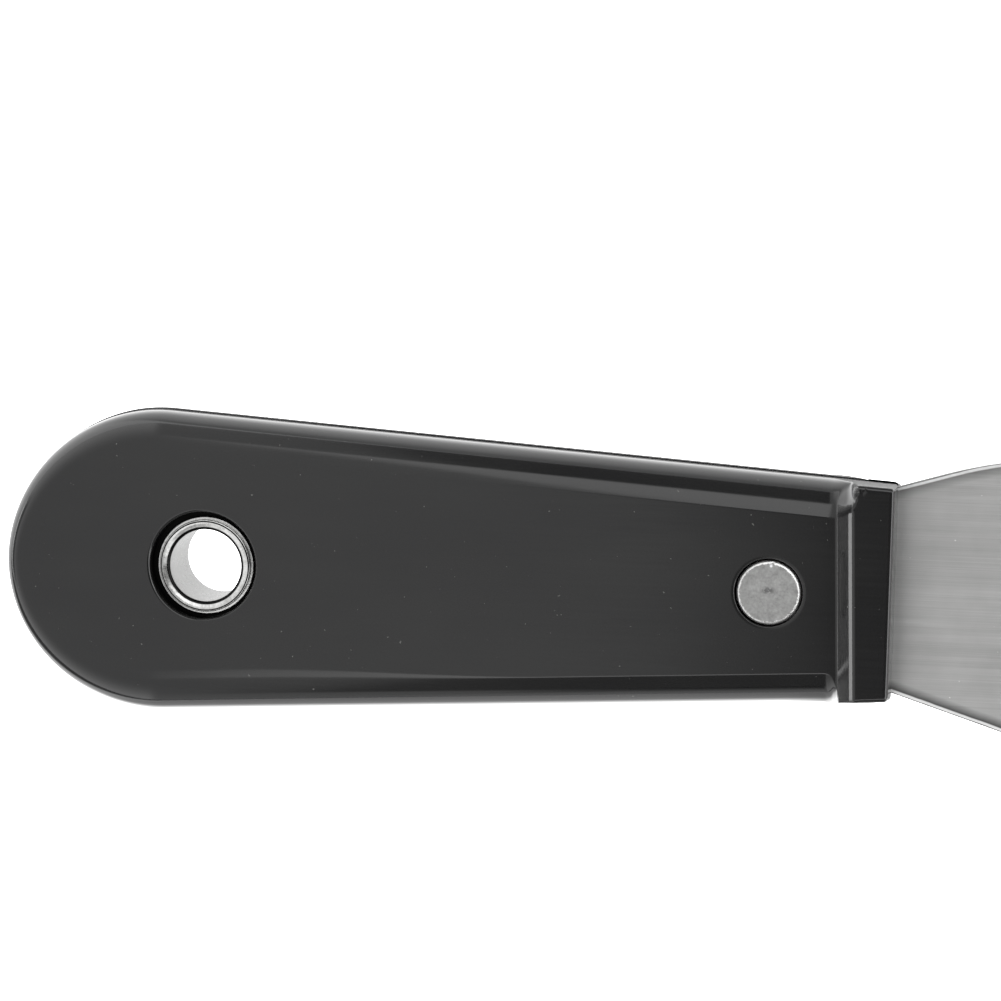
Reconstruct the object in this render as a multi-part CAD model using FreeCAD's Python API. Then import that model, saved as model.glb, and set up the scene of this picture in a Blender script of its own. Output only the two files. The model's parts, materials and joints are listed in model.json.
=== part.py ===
"""Ink knife: a steel blade with a full tang between two moulded handle halves.

The halves are clamped by a two-piece compression rivet near the blade and by a
flanged eyelet, with a washer under each flange, that lines the hanging hole.

Millimetres. The origin is the centre of the hanging hole, half way through the
handle. +X runs along the handle to the blade's edge, +Z out of the upper half.
"""
import FreeCAD, Part
import math
import os

from FreeCAD import Vector

# ---- handle outline, seen along Z ------------------------------------------
BUTT_CENTRE_X = -6.2        # centre of the round butt
BUTT_RADIUS = 17.6
SIDE_TAPER = math.radians(3.55)     # each side closes in towards the blade
HANDLE_END_X = 78.9
RIVET_X = 65.1

# ---- handle section, seen along X ------------------------------------------
FLAT_Z = 5.9                # height of the flat grip face above the parting plane
LAND_Z = 1.0                # upright stretch of wall beside the parting plane
PARTING_BEVEL = 0.15        # leaves a fine groove where the halves meet
SHOULDER_WIDTH = 4.0        # from the outline in to the edge of the flat face
BREAK_RADIUS = 1.2          # softens the edge between shoulder and flat face
GUARD_Z = 7.9               # raised guard across the blade end
GUARD_FOOT_X = 72.4         # where the guard's slope leaves the flat face
GUARD_SLOPE = math.radians(48.0)
GUARD_EDGE_RADIUS = 0.5

# ---- hanging hole ----------------------------------------------------------
BORE_RADIUS = 4.17          # inside of the eyelet
TUBE_RADIUS = 4.65          # outside of the eyelet
THROAT_Z = 3.7              # end of the eyelet's straight bore
SEAT_FLOOR_Z = 3.9          # bottom of the round seat in each handle half
SEAT_RADIUS = 6.2
SEAT_CENTRE = (-0.15, 0.25)     # the eyelet has play and sits a little off centre
SEAT_LIP_RADIUS = 0.35
WASHER_THICKNESS = 0.6
WASHER_RADIUS = 5.65
WASHER_BORE_RADIUS = 4.75
FLANGE_RADIUS = 5.35
FLANGE_THICKNESS = 0.55
FLANGE_CROWN_INSET = 0.3    # from the flange's rim in to its highest line
FLANGE_RIM_DROP = 0.25      # from the highest line down to the rim's side
FLANGE_RIM_BULGE = 0.08     # how near the rim's round comes to a square corner
THROAT_BULGE = (0.3, 0.45)  # middle of the flare: out from the bore, down from the crown
NECK_DROP = 0.25            # cone under the flange, from the tube to the washer's bore
NECK_CLEARANCE = 0.05
CLEARANCE_HOLE_RADIUS = 5.0     # through handle halves and tang

# ---- compression rivet -----------------------------------------------------
RIVET_HEAD_RADIUS = 3.62
RIVET_HEAD_THICKNESS = 1.6
RIVET_HEAD_CHAMFER = 0.25
RIVET_HEAD_SINK = 0.2       # head lies this far below the flat face
RIVET_SEAT_RADIUS = 3.95
RIVET_SLEEVE_RADIUS = 2.2
RIVET_PIN_RADIUS = 1.3
RIVET_SLEEVE_END_Z = -2.6
RIVET_PIN_END_Z = 2.2
RIVET_PIN_CLEARANCE = 0.02   # closed up when the rivet is pressed
RIVET_HOLE_RADIUS = 2.35
RIVET_BORE_END_GAP = 0.4    # left above the pin's end
RIVET_ROOT = 0.1            # how far a stem is sunk into its head

# ---- blade -----------------------------------------------------------------
BLADE_THICKNESS = 1.3
BLADE_EDGE_THICKNESS = 0.5
BLADE_TIP_X = 173.5
BLADE_TOP_Y = 15.7          # straight sides of the blade
BLADE_BOTTOM_Y = -22.4
HEEL_TOP_Y = 11.9           # where the heel leaves the handle
HEEL_BOTTOM_Y = -11.6
HEEL_FLARE = math.radians(17.3)
HEEL_ARC_RADIUS = 45.0      # eases each flare into the straight side
ROUND_CORNER_RADIUS = 12.0  # follows the wall of a round ink can
SQUARE_CORNER_RADIUS = 0.8
TAPER_START_X = 95.0        # the faces are ground thinner from here to the edge
TANG_HALF_WIDTH = 8.0
TANG_END_X = -14.0

# ---- inside the handle halves ----------------------------------------------
POCKET_CLEARANCE = 0.15     # round the tang's edge
POCKET_DEPTH = BLADE_THICKNESS / 2
SLOT_START_X = 75.5         # from here on the heel lies in a slot open at both sides
CORE_FLOOR_Z = 3.6          # top of the moulding's hollow cores
CORE_HALF_WIDTH = 5.5
CORE_SPANS = ((9.5, 23.0), (25.0, 39.0), (41.0, 55.0))
CORE_CORNER_RADIUS = 1.5
PEG_RADIUS = 1.3
PEG_LENGTH = 2.4
PEG_CLEARANCE = 0.06
PEG_CHAMFER = 0.3
PEG_ROOT = 1.0              # how far a peg is sunk into its half
SOCKET_END_GAP = 0.3
PEG_PLACES = ((12.0, 12.2), (12.0, -12.2), (48.0, 10.4), (48.0, -10.4))

FAR = 60.0                  # longer than any cut has to be
PAST = 1.0                  # how far a cutter runs past the face it opens
TINY = 0.01                 # for picking edges by their height
UP = Vector(0, 0, 1)


def cylinder(radius, low_z, high_z, x=0.0, y=0.0):
    """Upright cylinder between two heights."""
    return Part.makeCylinder(radius, high_z - low_z, Vector(x, y, low_z), UP)


def box(low, high):
    """Box between two corners."""
    size = [b - a for a, b in zip(low, high)]
    return Part.makeBox(*size, Vector(*low))


def arc(start, middle, end):
    return Part.Arc(start, middle, end).toShape()


def arc_about(centre, radius, from_angle, to_angle):
    """Arc in an upright plane along X; angles are measured from +X towards +Z."""
    points = []
    for share in (0.0, 0.5, 1.0):
        angle = from_angle + share * (to_angle - from_angle)
        offset = Vector(radius * math.cos(angle), 0, radius * math.sin(angle))
        points.append(centre + offset)
    return arc(*points)


def line(start, end):
    return Part.makeLine(start, end)


def face_of(edges):
    return Part.Face(Part.Wire(edges))


# ---------------------------------------------------------------------------
# Handle halves
# ---------------------------------------------------------------------------

def shoulder_section():
    """Half section of the grip, from the butt's centre out to the outline.

    It stands in the XZ plane with the butt's centre at x = 0. From the
    outline it goes up an upright land, round one large shoulder arc, round a
    small arc at the edge of the flat face, and back along the flat face.
    """
    rise = FLAT_Z - LAND_Z
    big = (SHOULDER_WIDTH ** 2 + rise ** 2) / (2 * SHOULDER_WIDTH)
    big_centre = Vector(BUTT_RADIUS - big, 0, LAND_Z)
    # The small arc touches the flat face and, from inside, the large arc.
    small_z = FLAT_Z - BREAK_RADIUS
    small_reach = math.sqrt((big - BREAK_RADIUS) ** 2 - (small_z - LAND_Z) ** 2)
    small_centre = Vector(big_centre.x + small_reach, 0, small_z)
    meet_angle = math.atan2(small_z - LAND_Z, small_reach)
    big_arc = arc_about(big_centre, big, 0.0, meet_angle)
    small_arc = arc_about(small_centre, BREAK_RADIUS, meet_angle, math.pi / 2)
    foot = Vector(BUTT_RADIUS, 0, 0)
    land_top = Vector(BUTT_RADIUS, 0, LAND_Z)
    flat_end = Vector(small_centre.x, 0, FLAT_Z)
    top = Vector(0, 0, FLAT_Z)
    middle = Vector(0, 0, 0)
    return face_of([
        line(middle, foot),
        line(foot, land_top),
        big_arc,
        small_arc,
        line(flat_end, top),
        line(top, middle),
    ])


def outline_edge_points():
    """The tangent point of the upper side and its end beyond the handle."""
    start = Vector(
        BUTT_CENTRE_X + BUTT_RADIUS * math.sin(SIDE_TAPER),
        BUTT_RADIUS * math.cos(SIDE_TAPER),
        0,
    )
    length = FAR + HANDLE_END_X
    end = start + Vector(math.cos(SIDE_TAPER), -math.sin(SIDE_TAPER), 0) * length
    return start, end


def outline_prism(height):
    """Everything inside the handle's outline, bevelled round its foot."""
    start, end = outline_edge_points()
    low_start = Vector(start.x, -start.y, 0)
    low_end = Vector(end.x, -end.y, 0)
    butt = Vector(BUTT_CENTRE_X - BUTT_RADIUS, 0, 0)
    face = face_of([
        line(start, end),
        line(end, low_end),
        line(low_end, low_start),
        arc(low_start, butt, start),
    ])
    prism = face.extrude(UP * height)
    foot_edges = [e for e in prism.Edges if e.BoundBox.ZMax < TINY and e.BoundBox.XLength > 1.0]
    prism = prism.makeChamfer(PARTING_BEVEL, foot_edges)
    return prism.common(box((-FAR, -FAR, 0), (HANDLE_END_X, FAR, height)))


def grip_body():
    """The grip with its shoulders, running on past the handle's end."""
    section = shoulder_section()
    centre = Vector(BUTT_CENTRE_X, 0, 0)
    section.translate(centre)
    body = section.revolve(centre, UP, 360)
    for side in (1, -1):
        flank, along = flank_frame(shoulder_section(), side)
        body = body.fuse(flank.extrude(along * (FAR + HANDLE_END_X)))
    return body.removeSplitter()


def flank_frame(shape, side):
    """Turns a half section in the XZ plane to stand square to one side's edge."""
    shape.rotate(Vector(), UP, side * (90 - math.degrees(SIDE_TAPER)))
    shape.translate(Vector(BUTT_CENTRE_X, 0, 0))
    along = Vector(math.cos(SIDE_TAPER), -side * math.sin(SIDE_TAPER), 0)
    return shape, along


def guard_block():
    """The raised guard: a slope up from the flat face, then a level top."""
    slope_run = (GUARD_Z - FLAT_Z) / math.tan(GUARD_SLOPE)
    corners = [
        Vector(GUARD_FOOT_X, -FAR, 0),
        Vector(GUARD_FOOT_X, -FAR, FLAT_Z),
        Vector(GUARD_FOOT_X + slope_run, -FAR, GUARD_Z),
        Vector(HANDLE_END_X, -FAR, GUARD_Z),
        Vector(HANDLE_END_X, -FAR, 0),
    ]
    profile = Part.Face(Part.makePolygon(corners + corners[:1]))
    block = profile.extrude(Vector(0, 2 * FAR, 0)).common(outline_prism(GUARD_Z))
    top_edges = [e for e in block.Edges if e.BoundBox.ZMin > GUARD_Z - TINY]
    return block.makeFillet(GUARD_EDGE_RADIUS, top_edges)


def round_seat(radius, floor_z, lip_radius, x, y):
    """Cutter for a round seat whose rim is eased where it meets the flat face."""
    cutter = cylinder(radius, floor_z, FLAT_Z + PAST, x, y)
    if lip_radius > 0:
        flare = Part.makeCone(radius, radius + lip_radius, lip_radius,
                              Vector(x, y, FLAT_Z - lip_radius), UP)
        above = cylinder(radius + lip_radius, FLAT_Z, FLAT_Z + PAST, x, y)
        cutter = cutter.fuse([flare, above])
    return cutter


def tang_pocket():
    """The recess in each half that takes its share of the tang's thickness."""
    pocket = tang_face(POCKET_CLEARANCE).extrude(UP * POCKET_DEPTH)
    slot = box((SLOT_START_X, -FAR, 0), (HANDLE_END_X + PAST, FAR, POCKET_DEPTH))
    return pocket.fuse(slot)


def core_cutters():
    """Hollow cores under the tang that keep the moulding's walls even."""
    cutters = []
    for start_x, end_x in CORE_SPANS:
        core = box((start_x, -CORE_HALF_WIDTH, 0), (end_x, CORE_HALF_WIDTH, CORE_FLOOR_Z))
        uprights = [e for e in core.Edges if e.BoundBox.ZLength > 1.0]
        cutters.append(core.makeFillet(CORE_CORNER_RADIUS, uprights))
    return cutters


def handle_half():
    """One half with every feature that both halves share, outer face up."""
    body = grip_body().common(outline_prism(FLAT_Z)).fuse(guard_block()).removeSplitter()
    seat_x, seat_y = SEAT_CENTRE
    cutters = [
        round_seat(SEAT_RADIUS, SEAT_FLOOR_Z, SEAT_LIP_RADIUS, seat_x, seat_y),
        cylinder(CLEARANCE_HOLE_RADIUS, -PAST, FLAT_Z, seat_x, seat_y),
        round_seat(RIVET_SEAT_RADIUS, rivet_seat_z(), 0, RIVET_X, 0),
        cylinder(RIVET_HOLE_RADIUS, -PAST, FLAT_Z, RIVET_X, 0),
        tang_pocket(),
    ]
    return body.cut(cutters + core_cutters())


def rivet_seat_z():
    return FLAT_Z - RIVET_HEAD_SINK - RIVET_HEAD_THICKNESS


def upper_handle():
    """Upper half, with sockets for the lower half's locating pegs."""
    sockets = []
    for x, y in PEG_PLACES:
        depth = PEG_LENGTH + SOCKET_END_GAP
        sockets.append(cylinder(PEG_RADIUS + PEG_CLEARANCE, -PAST, depth, x, y))
    return handle_half().cut(sockets)


def lower_handle():
    """Lower half, turned over, with four locating pegs on its parting face."""
    body = handle_half().mirror(Vector(), UP)
    pegs = []
    for x, y in PEG_PLACES:
        peg = cylinder(PEG_RADIUS, -PEG_ROOT, PEG_LENGTH, x, y)
        tip = [e for e in peg.Edges if e.BoundBox.ZMin > PEG_LENGTH - TINY]
        pegs.append(peg.makeChamfer(PEG_CHAMFER, tip))
    return body.fuse(pegs).removeSplitter()


# ---------------------------------------------------------------------------
# Blade
# ---------------------------------------------------------------------------

def tang_face(growth):
    """Outline of the tang and of the part of the heel inside the handle.

    growth is added to every side, so that the same outline makes the pockets.
    """
    half = TANG_HALF_WIDTH + growth
    flare = math.tan(HEEL_FLARE)
    end_x = HANDLE_END_X + growth
    top_y = HEEL_TOP_Y + growth + growth * flare
    bottom_y = HEEL_BOTTOM_Y - growth - growth * flare
    # Both flares run back into the handle until they reach the tang's side.
    top_neck_x = end_x - (top_y - half) / flare
    bottom_neck_x = end_x - (-bottom_y - half) / flare
    round_x = TANG_END_X + TANG_HALF_WIDTH
    edges = [
        line(Vector(end_x, bottom_y, 0), Vector(end_x, top_y, 0)),
        line(Vector(end_x, top_y, 0), Vector(top_neck_x, half, 0)),
        line(Vector(top_neck_x, half, 0), Vector(round_x, half, 0)),
        arc(Vector(round_x, half, 0), Vector(round_x - half, 0, 0), Vector(round_x, -half, 0)),
        line(Vector(round_x, -half, 0), Vector(bottom_neck_x, -half, 0)),
        line(Vector(bottom_neck_x, -half, 0), Vector(end_x, bottom_y, 0)),
    ]
    return face_of(edges)


def flare_side(start_y, straight_y):
    """Edges of one exposed side: a straight flare, then an arc into the side.

    start_y is the side's distance from the axis at the handle and straight_y
    its distance further out. Both are positive; the caller mirrors the result.
    """
    arc_rise = HEEL_ARC_RADIUS * (1 - math.cos(HEEL_FLARE))
    arc_run = HEEL_ARC_RADIUS * math.sin(HEEL_FLARE)
    flare_rise = straight_y - start_y - arc_rise
    flare_run = flare_rise / math.tan(HEEL_FLARE)
    first = Vector(HANDLE_END_X, start_y, 0)
    second = Vector(HANDLE_END_X + flare_run, start_y + flare_rise, 0)
    third = Vector(second.x + arc_run, straight_y, 0)
    half_angle = HEEL_FLARE / 2
    middle = Vector(
        third.x - HEEL_ARC_RADIUS * math.sin(half_angle),
        straight_y - HEEL_ARC_RADIUS * (1 - math.cos(half_angle)),
        0,
    )
    return first, second, middle, third


def blade_face():
    """Outline of the exposed blade."""
    top = flare_side(HEEL_TOP_Y, BLADE_TOP_Y)
    bottom = [Vector(p.x, -p.y, 0) for p in flare_side(-HEEL_BOTTOM_Y, -BLADE_BOTTOM_Y)]
    edges = [
        line(top[0], top[1]),
        arc(top[1], top[2], top[3]),
        line(bottom[0], bottom[1]),
        arc(bottom[1], bottom[2], bottom[3]),
        line(bottom[0], top[0]),
    ]
    corner = math.sqrt(0.5)
    tip = BLADE_TIP_X
    big, small = ROUND_CORNER_RADIUS, SQUARE_CORNER_RADIUS
    big_x, big_y = tip - big, BLADE_TOP_Y - big
    small_x, small_y = tip - small, BLADE_BOTTOM_Y + small
    edges += [
        line(top[3], Vector(big_x, BLADE_TOP_Y, 0)),
        arc(Vector(big_x, BLADE_TOP_Y, 0),
            Vector(big_x + big * corner, big_y + big * corner, 0),
            Vector(tip, big_y, 0)),
        line(Vector(tip, big_y, 0), Vector(tip, small_y, 0)),
        arc(Vector(tip, small_y, 0),
            Vector(small_x + small * corner, small_y - small * corner, 0),
            Vector(small_x, BLADE_BOTTOM_Y, 0)),
        line(Vector(small_x, BLADE_BOTTOM_Y, 0), bottom[3]),
    ]
    return Part.Face(Part.Wire(Part.sortEdges(edges)[0]))


def taper_cutter(side):
    """Wedge that grinds one face thinner towards the edge."""
    full = BLADE_THICKNESS / 2
    thin = BLADE_EDGE_THICKNESS / 2
    beyond = BLADE_TIP_X + PAST
    slope = (full - thin) / (BLADE_TIP_X - TAPER_START_X)
    thin_beyond = full - slope * (beyond - TAPER_START_X)
    corners = [
        Vector(TAPER_START_X, -FAR, side * full),
        Vector(beyond, -FAR, side * thin_beyond),
        Vector(beyond, -FAR, side * (full + PAST)),
        Vector(TAPER_START_X, -FAR, side * (full + PAST)),
    ]
    return Part.Face(Part.makePolygon(corners + corners[:1])).extrude(Vector(0, 2 * FAR, 0))


def blade():
    """Blade and tang in one piece of steel."""
    thickness = UP * BLADE_THICKNESS
    body = tang_face(0).extrude(thickness).fuse(blade_face().extrude(thickness))
    body.translate(Vector(0, 0, -BLADE_THICKNESS / 2))
    body = body.removeSplitter()
    holes = [
        cylinder(CLEARANCE_HOLE_RADIUS, -PAST, PAST),
        cylinder(RIVET_HOLE_RADIUS, -PAST, PAST, RIVET_X),
    ]
    return body.cut(holes + [taper_cutter(1), taper_cutter(-1)])


# ---------------------------------------------------------------------------
# Compression rivet
# ---------------------------------------------------------------------------

def rivet_head():
    """Head with its chamfered rim, in the upper seat."""
    low = rivet_seat_z()
    head = cylinder(RIVET_HEAD_RADIUS, low, low + RIVET_HEAD_THICKNESS, RIVET_X)
    rim = [e for e in head.Edges if e.BoundBox.ZMin > low + RIVET_HEAD_THICKNESS - TINY]
    return head.makeChamfer(RIVET_HEAD_CHAMFER, rim)


def rivet_sleeve():
    """Female half: a head on a sleeve that reaches down through the tang."""
    root_z = rivet_seat_z() + RIVET_ROOT
    sleeve = cylinder(RIVET_SLEEVE_RADIUS, RIVET_SLEEVE_END_Z, root_z, RIVET_X)
    bore_radius = RIVET_PIN_RADIUS + RIVET_PIN_CLEARANCE
    bore_end_z = RIVET_PIN_END_Z + RIVET_BORE_END_GAP
    bore = cylinder(bore_radius, RIVET_SLEEVE_END_Z - PAST, bore_end_z, RIVET_X)
    return rivet_head().fuse(sleeve).cut(bore).removeSplitter()


def rivet_pin():
    """Male half: a head below, with a solid pin pressed up into the sleeve."""
    head = rivet_head().mirror(Vector(), UP)
    pin = cylinder(RIVET_PIN_RADIUS, -rivet_seat_z() - RIVET_ROOT, RIVET_PIN_END_Z, RIVET_X)
    return head.fuse(pin).removeSplitter()


# ---------------------------------------------------------------------------
# Eyelet and its washers
# ---------------------------------------------------------------------------

def eyelet():
    """Tube with a rolled flange at each end, turned from one half section."""
    under_z = SEAT_FLOOR_Z + WASHER_THICKNESS
    crown_z = under_z + FLANGE_THICKNESS
    crown_radius = FLANGE_RADIUS - FLANGE_CROWN_INSET
    bulge_out, bulge_down = THROAT_BULGE
    throat = Vector(BORE_RADIUS, 0, THROAT_Z)
    crown = Vector(crown_radius, 0, crown_z)
    rim = Vector(FLANGE_RADIUS, 0, crown_z - FLANGE_RIM_DROP)
    rim_foot = Vector(FLANGE_RADIUS, 0, under_z)
    flare_middle = Vector(BORE_RADIUS + bulge_out, 0, crown_z - bulge_down)
    rim_middle = Vector(FLANGE_RADIUS - FLANGE_RIM_BULGE, 0, crown_z - FLANGE_RIM_BULGE)
    under = Vector(WASHER_BORE_RADIUS - NECK_CLEARANCE, 0, under_z)
    neck = Vector(TUBE_RADIUS, 0, under_z - NECK_DROP)
    upper = [
        line(Vector(BORE_RADIUS, 0, 0), throat),
        arc(throat, flare_middle, crown),
        arc(crown, rim_middle, rim),
        line(rim, rim_foot),
        line(rim_foot, under),
        line(under, neck),
        line(neck, Vector(TUBE_RADIUS, 0, 0)),
        line(Vector(TUBE_RADIUS, 0, 0), Vector(BORE_RADIUS, 0, 0)),
    ]
    half = face_of(upper).revolve(Vector(), UP, 360)
    return half.fuse(half.mirror(Vector(), UP)).removeSplitter()


def washer(side):
    """Flat washer under one flange; side is 1 above and -1 below."""
    low = SEAT_FLOOR_Z
    high = SEAT_FLOOR_Z + WASHER_THICKNESS
    ring = cylinder(WASHER_RADIUS, low, high).cut(cylinder(WASHER_BORE_RADIUS, low, high))
    return ring if side > 0 else ring.mirror(Vector(), UP)


def main():
    nodes = {
        "blade": blade(),
        "upper_handle_half": upper_handle(),
        "lower_handle_half": lower_handle(),
        "rivet_sleeve": rivet_sleeve(),
        "rivet_pin": rivet_pin(),
        "hang_hole_eyelet": eyelet(),
        "upper_eyelet_washer": washer(1),
        "lower_eyelet_washer": washer(-1),
    }
    os.makedirs("parts", exist_ok=True)
    for name, shape in nodes.items():
        solids = shape.Solids
        print(name, "valid", shape.isValid(), "solids", len(solids), "mm3", round(shape.Volume, 1))
        solids[0].exportStep(f"parts/{name}.step")


main()
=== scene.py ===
"""Looks of the ink knife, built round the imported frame.

Metres, in the frame's own axes: the origin is the centre of the hanging hole, +X runs along the
handle to the blade's edge and +Z out of the upper handle half. The shapes are worked out in
millimetres and scaled once, when each mesh is made.
"""
import json
import math

import bmesh
import bpy
from mathutils import Matrix, Vector, noise


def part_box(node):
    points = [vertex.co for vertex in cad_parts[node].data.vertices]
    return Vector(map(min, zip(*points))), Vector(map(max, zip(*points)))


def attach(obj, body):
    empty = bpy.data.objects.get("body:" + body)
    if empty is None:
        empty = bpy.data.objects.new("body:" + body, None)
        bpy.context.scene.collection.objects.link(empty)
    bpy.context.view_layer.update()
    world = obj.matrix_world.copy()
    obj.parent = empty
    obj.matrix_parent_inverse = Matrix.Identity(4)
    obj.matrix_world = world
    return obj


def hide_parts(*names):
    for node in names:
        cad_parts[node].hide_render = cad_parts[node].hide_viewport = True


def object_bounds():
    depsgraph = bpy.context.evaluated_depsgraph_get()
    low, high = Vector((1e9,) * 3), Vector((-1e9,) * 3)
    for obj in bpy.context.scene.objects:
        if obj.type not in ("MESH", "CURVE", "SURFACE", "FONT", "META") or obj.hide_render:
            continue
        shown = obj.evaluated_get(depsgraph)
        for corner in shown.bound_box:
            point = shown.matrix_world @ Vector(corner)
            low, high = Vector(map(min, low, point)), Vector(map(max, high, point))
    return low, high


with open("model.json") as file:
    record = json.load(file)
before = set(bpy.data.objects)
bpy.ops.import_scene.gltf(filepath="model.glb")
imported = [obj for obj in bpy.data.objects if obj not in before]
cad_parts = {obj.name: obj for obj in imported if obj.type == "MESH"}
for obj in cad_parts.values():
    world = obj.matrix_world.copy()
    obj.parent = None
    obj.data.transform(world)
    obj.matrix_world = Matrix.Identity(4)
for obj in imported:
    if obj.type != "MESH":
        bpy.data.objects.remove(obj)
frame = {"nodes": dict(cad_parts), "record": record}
cad_low, cad_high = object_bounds()

MM = 0.001


def box_mm(node):
    low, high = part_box(node)
    return low / MM, high / MM


handle_low, handle_high = box_mm("upper_handle_half")
_, eyelet_high = box_mm("hang_hole_eyelet")
washer_low, washer_high = box_mm("upper_eyelet_washer")
head_low, head_high = box_mm("rivet_sleeve")
blade_low, blade_high = box_mm("blade")

# ---- handle, in millimetres --------------------------------------------------
SIDE_TAPER = math.radians(3.55)
BUTT_RADIUS = handle_high.y
BUTT_CENTRE_X = handle_low.x + BUTT_RADIUS
HANDLE_END_X = handle_high.x
GUARD_Z = handle_high.z
FLAT_Z = 5.9
BEVEL = 0.12                # groove where the halves meet
SHOULDER_RADIUS = 5.0
SHOULDER_END = math.radians(12.7)   # slope that is left where the shoulder meets the break
SHARP_BREAK = 0.9           # radius between shoulder and flat face beside the rivet
SOFT_BREAK = 9.0            # the same round the butt, where there is no clear edge
BUTT_END_RADIUS = 2.3       # shoulder at the very end of the butt
GUARD_FOOT_X = 72.6
GUARD_FOOT_SHIFT = 0.1      # the slope is not quite square to the handle: shift at y = 0
GUARD_FOOT_SKEW = -0.037    # and for each millimetre of y
GUARD_SLOPE = math.radians(46.0)
GUARD_FACET = math.radians(42.0)    # worn facet along the top of the slope
GUARD_FACET_RISE = 1.5
GUARD_FOOT_RADIUS = 0.35
GUARD_TOP_ROUND = 0.12
GUARD_EDGE_RADIUS = 0.5
GUARD_SIDE_RADIUS = 0.5
GUARD_CORNER_RADIUS = 0.45
GUARD_LEAN = ((-0.25, 0.9), (0.95, 0.4))    # draft of its sides, (+Y, -Y) of each half
LAND_Z = 1.0
RUNOUT_START_X = 71.3       # the shoulder sweeps out to the guard's sides
RUNOUT_LENGTHS = (4.8, 1.5)    # how far along it takes, (+Y, -Y)
RUNOUT_DEPTH = 4.6
LEAN_END_X = (76.0, 73.0)   # where the guard's sides have their full draft (+Y, -Y)
FOOT_CORNER_RADII = (2.2, 0.0)  # plan rounding where the guard's foot meets its sides (+Y, -Y)
FOOT_CORNER_IN = 0.3
SLOT_START_X = 75.5
SLOT_Z = 0.65
TANG_HALF_WIDTH = 8.15
TANG_ROUND_X = -6.0
HALF_SHIFT = Vector((0.07, -0.12, 0))   # the moulded halves are never exactly in line
SHOULDER_STEPS = 22
BREAK_STEPS = 10
SIDE_STEPS = 70
BUTT_STEPS = 96
ROUNDING_STEPS = 7          # over the guard's side rounding
FLAT_MARGIN = 0.3           # ring of flat face round every edge, which keeps its shading even

# Distance of each straight side's line from the origin.
BESIDE_LINE = BUTT_RADIUS + BUTT_CENTRE_X * math.sin(SIDE_TAPER)

# ---- seats, eyelet and rivet ---------------------------------------------------
BORE_RADIUS = frame["record"]["mounts"][0]["dims"]["r_mm"]
SEAT_CENTRE = Vector((-0.15, 0.25, 0))
SEAT_RADIUS = 6.2
SEAT_FLOOR_Z = washer_low.z
SEAT_LIP = 0.35
HOLE_RADIUS = 5.0
GROOVE_IN = 0.22            # groove rolled round the eyelet's flange, in from its rim, with painted shade in it
RIVET_X = 0.5 * (head_low.x + head_high.x)
RIVET_SEAT_RADIUS = 3.87
RIVET_SEAT_OFFSET = Vector((-0.08, 0.05, 0))
RIVET_HEAD_OFFSET = Vector((0.0, -0.12, 0))     # heads are never quite centred on their seats
RIVET_SEAT_FLOOR_Z = 4.1
RIVET_SEAT_LIP = 0.12
RIVET_HOLE_RADIUS = 2.35
RIVET_HEAD_RADIUS = 0.5 * (head_high.x - head_low.x) + 0.08
RIVET_SLEEVE_RADIUS = 2.2
RIVET_PIN_RADIUS = 1.3
RIVET_PIN_TOP_Z = 2.2
EYELET_TUBE_RADIUS = 4.65
WASHER_BORE_RADIUS = 4.75
RING_COUNT = 160            # points round the eyelet and washers
HEAD_RING_COUNT = 144       # points round the rivet

# ---- blade -------------------------------------------------------------------
HEEL_Y = (11.9, 11.6)       # where the heel leaves the handle, (+Y, -Y)
HEEL_FLARE = math.radians(17.3)
HEEL_ARC_RADIUS = 45.0      # eases each flare into the straight side
EDGE_SHADE = (0.5, 0.9)     # how dark the painted shade on the face beside the ground edge is, (+Y, -Y)

# ---- camera: a long lens well above the knife, a little towards its blade ----
CAMERA_PLACE = Vector((102.996, 61.638, 452.023)) * MM
CAMERA_TARGET = Vector((33.475, 8.412, 0.0)) * MM
CAMERA_ROLL = 0.0242
CAMERA_LENS = 144.2
SENSOR_WIDTH = 36.0

# ---- brightness, as each part of the stage is seen ------------------------------
FLOOR_SEEN = 3.0            # by the camera; all the others are for reflections only
WORLD_SEEN = 0.93
BEHIND_LEVEL = 1.5          # table behind the butt
BORE_LEVEL = 1.2            # table under the hanging hole
LOWER_POOL_LEVEL = 4.8      # glow of the painted pool of light on the table beside the handle's -Y side
CARD_LEVEL = 0.95
SOFT_LIGHT_LEVEL = 2.15
STRIP_LEVEL = 2.2
HORIZON_LEVEL = 5.8
FRONT_LEVEL = 4.5


def make_camera():
    data = bpy.data.cameras.new("camera")
    data.sensor_width = SENSOR_WIDTH
    data.lens = CAMERA_LENS
    data.clip_start = 0.01
    camera = bpy.data.objects.new("camera", data)
    bpy.context.scene.collection.objects.link(camera)
    forward = (CAMERA_TARGET - CAMERA_PLACE).normalized()
    right = forward.cross(Vector((0, 1, 0))).normalized()
    up = right.cross(forward)
    level = Matrix((right, up, -forward)).transposed()
    turn = Matrix.Rotation(CAMERA_ROLL, 3, "Z")
    camera.matrix_world = Matrix.Translation(CAMERA_PLACE) @ (level @ turn).to_4x4()
    bpy.context.scene.camera = camera


# ---------------------------------------------------------------------------
# Mesh helpers
# ---------------------------------------------------------------------------

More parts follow.
